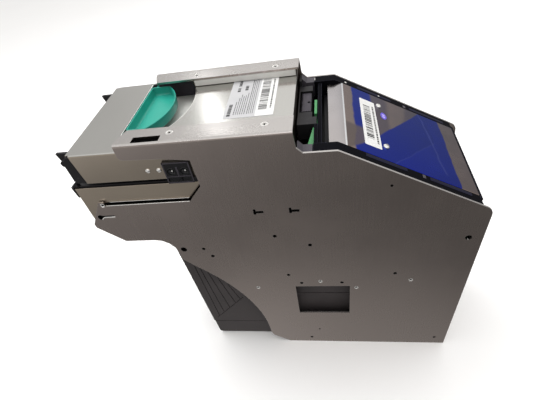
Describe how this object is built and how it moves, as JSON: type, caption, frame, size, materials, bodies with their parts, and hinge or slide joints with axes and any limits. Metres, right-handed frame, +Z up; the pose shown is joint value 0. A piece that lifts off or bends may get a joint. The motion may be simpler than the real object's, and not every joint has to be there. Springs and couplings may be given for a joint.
{
  "type": "bill validator",
  "caption": "Bill validator: sheet steel chassis with a slide-out note head with a green cup handle, a slide-out cassette and an inclined hinged hatch over the note path.",
  "frame": {"origin": "centre of the bounding box at the base plane", "axes": "+X along the chassis from the note mouth to the hinge of the hatch, +Y from the front side plate to the rear side plate, +Z up"},
  "size_m": [0.3898, 0.14, 0.3396],
  "materials": {
    "side_steel": "satin grey coated sheet steel",
    "olive_steel": "satin warm grey sheet steel",
    "bright_steel": "brushed bright sheet steel",
    "mirror_steel": "polished sheet with a blue tone",
    "turned_steel": "ground shaft steel",
    "black_plastic": "moulded satin black",
    "grey_plastic": "moulded dark grey",
    "handle_green": "moulded teal green",
    "lever_green": "moulded leaf green",
    "board": "solder-masked circuit board",
    "rubber": "matt black rubber"
  },
  "bodies": {
    "chassis": {"side_plate_front": "side_steel", "side_plate_rear": "side_steel", "base_plate": "side_steel", "rear_panel": "side_steel", "head_shelf": "olive_steel", "head_rail_front": "black_plastic", "head_rail_rear": "black_plastic", "cassette_rail_front": "olive_steel", "cassette_rail_rear": "olive_steel", "transport_bed": "black_plastic", "transport_motor": "grey_plastic", "transport_belt": "rubber", "turn_guide": "black_plastic", "inlet_guide": "black_plastic", "guide_pad": "grey_plastic", "bridge_block": "black_plastic", "end_block_front": "grey_plastic", "end_block_rear": "grey_plastic", "lever_pin": "turned_steel", "hatch_pivot_pin": "turned_steel", "interface_board": "board", "interface_connector": "grey_plastic"},
    "head": {"head_cover": "bright_steel", "head_lower_cover": "olive_steel", "recess_tub": "grey_plastic", "upper_guide": "black_plastic", "lower_guide": "black_plastic", "head_motor": "grey_plastic", "head_belt": "rubber", "sensor_board": "board", "head_board": "board", "bezel_upper": "black_plastic", "bezel_lower": "black_plastic", "side_block_front": "black_plastic", "side_block_rear": "black_plastic"},
    "handle": {"handle": "handle_green"},
    "feed_left": {"feed_shaft_left": "rubber"},
    "feed_right": {"feed_shaft_right": "rubber"},
    "idle_left": {"idle_shaft_left": "rubber"},
    "idle_right": {"idle_shaft_right": "rubber"},
    "head_pulley": {"head_motor_pulley": "turned_steel"},
    "hatch": {"hatch_frame": "black_plastic", "lever_shade": "black_plastic", "hatch_cover": "mirror_steel", "hatch_guide": "black_plastic"},
    "hatch_roller": {"hatch_shaft": "rubber"},
    "lever": {"release_lever": "lever_green"},
    "bed_roller": {"transport_shaft": "rubber"},
    "bed_pulley": {"transport_pulley": "turned_steel"},
    "cassette": {"cassette_case": "black_plastic", "cassette_base": "black_plastic"},
    "pressure_plate": {"pressure_plate": "grey_plastic", "pressure_spring": "turned_steel"}
  },
  "joints": [
    {"name": "head_slide", "type": "slide", "parent": "chassis", "child": "head", "axis": [-1, 0, 0], "range_m": [0, 0.18]},
    {"name": "handle_hinge", "type": "hinge", "parent": "head", "child": "handle", "pos_m": [-0.1312, 0.009, 0.328], "axis": [0, -1, 0], "range_deg": [0, 10], "stiffness_Nm_per_rad": 0.03, "springref_deg": -17.19},
    {"name": "feed_left_spin", "type": "hinge", "parent": "head", "child": "feed_left", "pos_m": [-0.1549, 0, 0.28575], "axis": [0, 1, 0], "continuous": true},
    {"name": "feed_right_spin", "type": "hinge", "parent": "head", "child": "feed_right", "pos_m": [-0.0269, 0, 0.28575], "axis": [0, 1, 0], "continuous": true},
    {"name": "idle_left_spin", "type": "hinge", "parent": "head", "child": "idle_left", "pos_m": [-0.1549, 0, 0.30605], "axis": [0, 1, 0], "continuous": true},
    {"name": "idle_right_spin", "type": "hinge", "parent": "head", "child": "idle_right", "pos_m": [-0.0269, 0, 0.30605], "axis": [0, 1, 0], "continuous": true},
    {"name": "head_pulley_spin", "type": "hinge", "parent": "head", "child": "head_pulley", "pos_m": [-0.0909, -0.059, 0.266], "axis": [0, 1, 0], "continuous": true},
    {"name": "hatch_hinge", "type": "hinge", "parent": "chassis", "child": "hatch", "pos_m": [0.18098, 0, 0.24581], "axis": [0, 1, 0], "range_deg": [0, 95]},
    {"name": "hatch_roller_spin", "type": "hinge", "parent": "hatch", "child": "hatch_roller", "pos_m": [0.10783, 0, 0.27877], "axis": [0, 1, 0], "continuous": true},
    {"name": "lever_tilt", "type": "hinge", "parent": "chassis", "child": "lever", "pos_m": [0.0424, -0.015, 0.3015], "axis": [0, -1, 0], "range_deg": [0, 6], "stiffness_Nm_per_rad": 0.3, "springref_deg": -5.73},
    {"name": "bed_roller_spin", "type": "hinge", "parent": "chassis", "child": "bed_roller", "pos_m": [0.0981, 0, 0.26096], "axis": [0, 1, 0], "continuous": true},
    {"name": "bed_pulley_spin", "type": "hinge", "parent": "chassis", "child": "bed_pulley", "pos_m": [0.0571, -0.059, 0.25], "axis": [0, 1, 0], "continuous": true},
    {"name": "cassette_slide", "type": "slide", "parent": "chassis", "child": "cassette", "axis": [-1, 0, 0], "range_m": [0, 0.26]},
    {"name": "pressure_slide", "type": "slide", "parent": "cassette", "child": "pressure_plate", "axis": [0, 0, -1], "range_m": [0, 0.14], "stiffness_N_per_m": 20, "springref_m": -0.15, "deforming": ["pressure_spring"]}
  ],
  "couplings": [
    {"joint": "feed_right_spin", "follows": "feed_left_spin", "ratio": 1},
    {"joint": "idle_left_spin", "follows": "feed_left_spin", "ratio": -1.5},
    {"joint": "idle_right_spin", "follows": "feed_left_spin", "ratio": -1.5},
    {"joint": "head_pulley_spin", "follows": "feed_left_spin", "ratio": 1.25},
    {"joint": "bed_pulley_spin", "follows": "bed_roller_spin", "ratio": 1.25},
    {"joint": "hatch_roller_spin", "follows": "bed_roller_spin", "ratio": -1.5}
  ]
}
